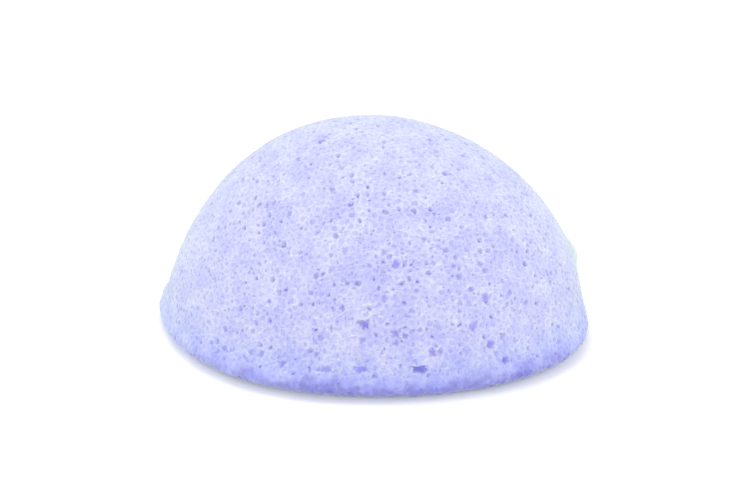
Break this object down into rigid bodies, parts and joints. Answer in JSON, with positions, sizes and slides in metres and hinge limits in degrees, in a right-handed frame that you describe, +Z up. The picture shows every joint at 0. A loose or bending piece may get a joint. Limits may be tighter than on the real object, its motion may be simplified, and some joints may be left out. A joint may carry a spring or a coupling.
{
  "type": "konjac sponge",
  "caption": "Half-ball konjac facial sponge with a cotton hanging loop drawn through it and held by a stopper knot.",
  "frame": {"origin": "middle of the flat face, on the surface that the sponge stands on", "axes": "+Z up through the dome, +X toward the side with the stopper knot, +Y toward the hanging loop"},
  "size_m": [0.0834, 0.122, 0.0404],
  "materials": {
    "sponge": "matte",
    "cotton_cord": "matte"
  },
  "bodies": {
    "sponge": {"sponge_body": "sponge"},
    "cord": {"stopper_knot": "cotton_cord", "cord_tails": "cotton_cord", "channel_strands": "cotton_cord"},
    "loop": {"hanging_loop": "cotton_cord"}
  },
  "joints": [
    {"name": "cord_draw", "type": "slide", "parent": "sponge", "child": "cord", "axis": [0.925, -0.3799, 0], "range_m": [0, 0.004]},
    {"name": "loop_swing", "type": "hinge", "parent": "cord", "child": "loop", "pos_m": [-0.02504, 0.03654, 0.0072], "axis": [0.3799, 0.925, 0], "range_deg": [0, 90]}
  ]
}
